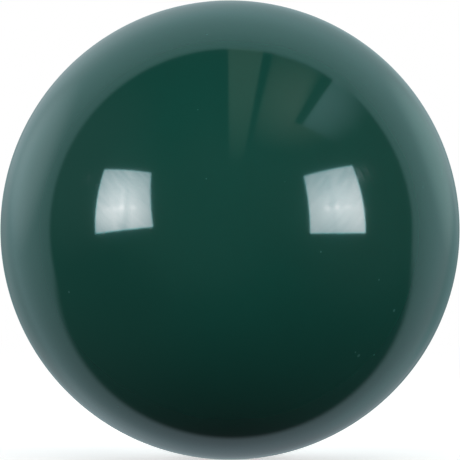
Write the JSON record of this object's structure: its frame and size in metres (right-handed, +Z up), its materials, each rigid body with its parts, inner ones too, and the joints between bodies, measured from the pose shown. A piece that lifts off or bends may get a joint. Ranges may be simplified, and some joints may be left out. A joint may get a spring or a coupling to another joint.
{
  "type": "snooker ball",
  "caption": "Solid sphere of polished deep green resin, played with a cue and rolled over a cloth-covered table.",
  "frame": {"origin": "centre of the ball", "axes": "+Z up from the point that the ball rests on, -Y towards the viewer; the ball is the same about every axis"},
  "size_m": [0.0524, 0.0524, 0.0524],
  "materials": {
    "resin": "cast phenolic resin, green right through, ground round and polished to a mirror gloss"
  },
  "bodies": {
    "root": {"ball": "resin"}
  },
  "joints": []
}
